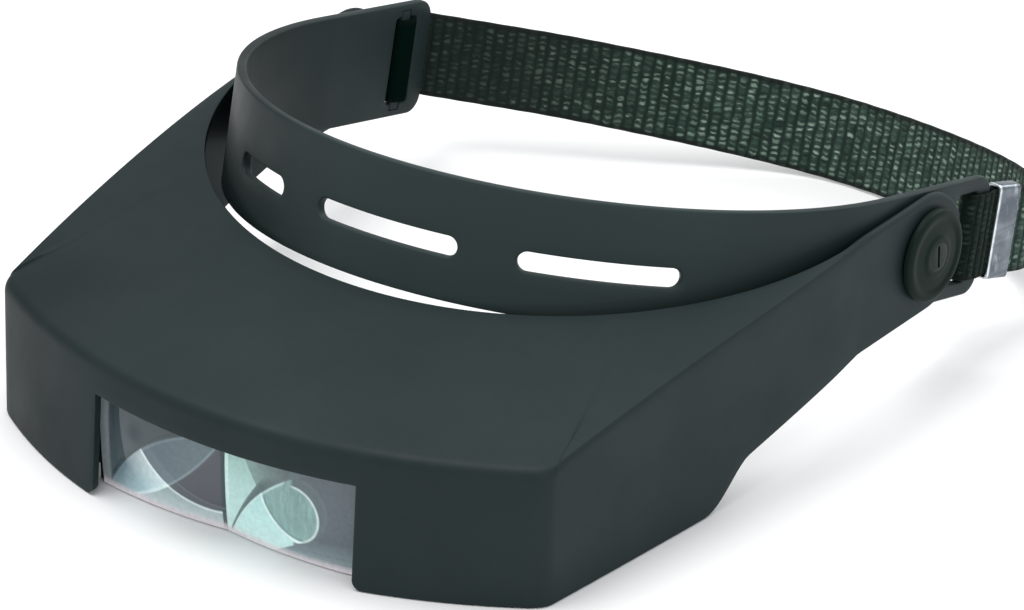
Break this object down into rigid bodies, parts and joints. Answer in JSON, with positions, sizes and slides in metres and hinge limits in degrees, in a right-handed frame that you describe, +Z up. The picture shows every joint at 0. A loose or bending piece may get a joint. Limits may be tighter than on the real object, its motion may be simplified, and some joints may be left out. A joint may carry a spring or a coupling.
{
  "type": "head visor magnifier",
  "caption": "Head-worn magnifier: a curved hood with flat rectangular lenses tilts on temple pivots on a slotted headband, held by an adjustable webbing strap.",
  "frame": {"origin": "middle of the temple pivot axis, at the centre of the head opening", "axes": "+X along the pivot axis to the wearer's left, -Y the way the wearer looks, +Z up"},
  "size_m": [0.1692, 0.2274, 0.0689],
  "materials": {
    "headband": "fine satin moulded plastic",
    "hood": "fine satin moulded plastic",
    "lens": "polished",
    "lens_frame": "moulded",
    "steel": "plated",
    "knob": "satin",
    "pivot_screw": "black oxide",
    "brass": "machined",
    "fibre": "pressed fibre",
    "webbing": "ribbed woven webbing",
    "anchor": "moulded",
    "slide": "bright plated sheet"
  },
  "bodies": {
    "headband": {"headband": "headband", "stud_inserts": "brass", "friction_washers": "fibre", "spring_washers": "steel", "strap": "webbing", "strap_anchor": "anchor"},
    "hood": {"visor_hood": "hood", "lens_left": "lens", "lens_right": "lens", "lens_frame": "lens_frame", "lens_screws": "steel"},
    "knob_left": {"tension_knob_left": "knob", "pivot_screw_left": "pivot_screw"},
    "knob_right": {"tension_knob_right": "knob", "pivot_screw_right": "pivot_screw"},
    "slide": {"strap_slide": "slide"}
  },
  "joints": [
    {"name": "hood_tilt", "type": "hinge", "parent": "headband", "child": "hood", "pos_m": [0, 0, 0], "axis": [-1, 0, 0], "range_deg": [-15, 90]},
    {"name": "knob_left_turn", "type": "hinge", "parent": "headband", "child": "knob_left", "pos_m": [0.0832, 0, 0], "axis": [1, 0, 0], "range_deg": [0, 270]},
    {"name": "knob_right_turn", "type": "hinge", "parent": "headband", "child": "knob_right", "pos_m": [-0.0832, 0, 0], "axis": [-1, 0, 0], "range_deg": [0, 270]},
    {"name": "slide_travel", "type": "slide", "parent": "headband", "child": "slide", "axis": [0.2079, 0.9487, -0.2383], "range_m": [0, 0.003]}
  ]
}
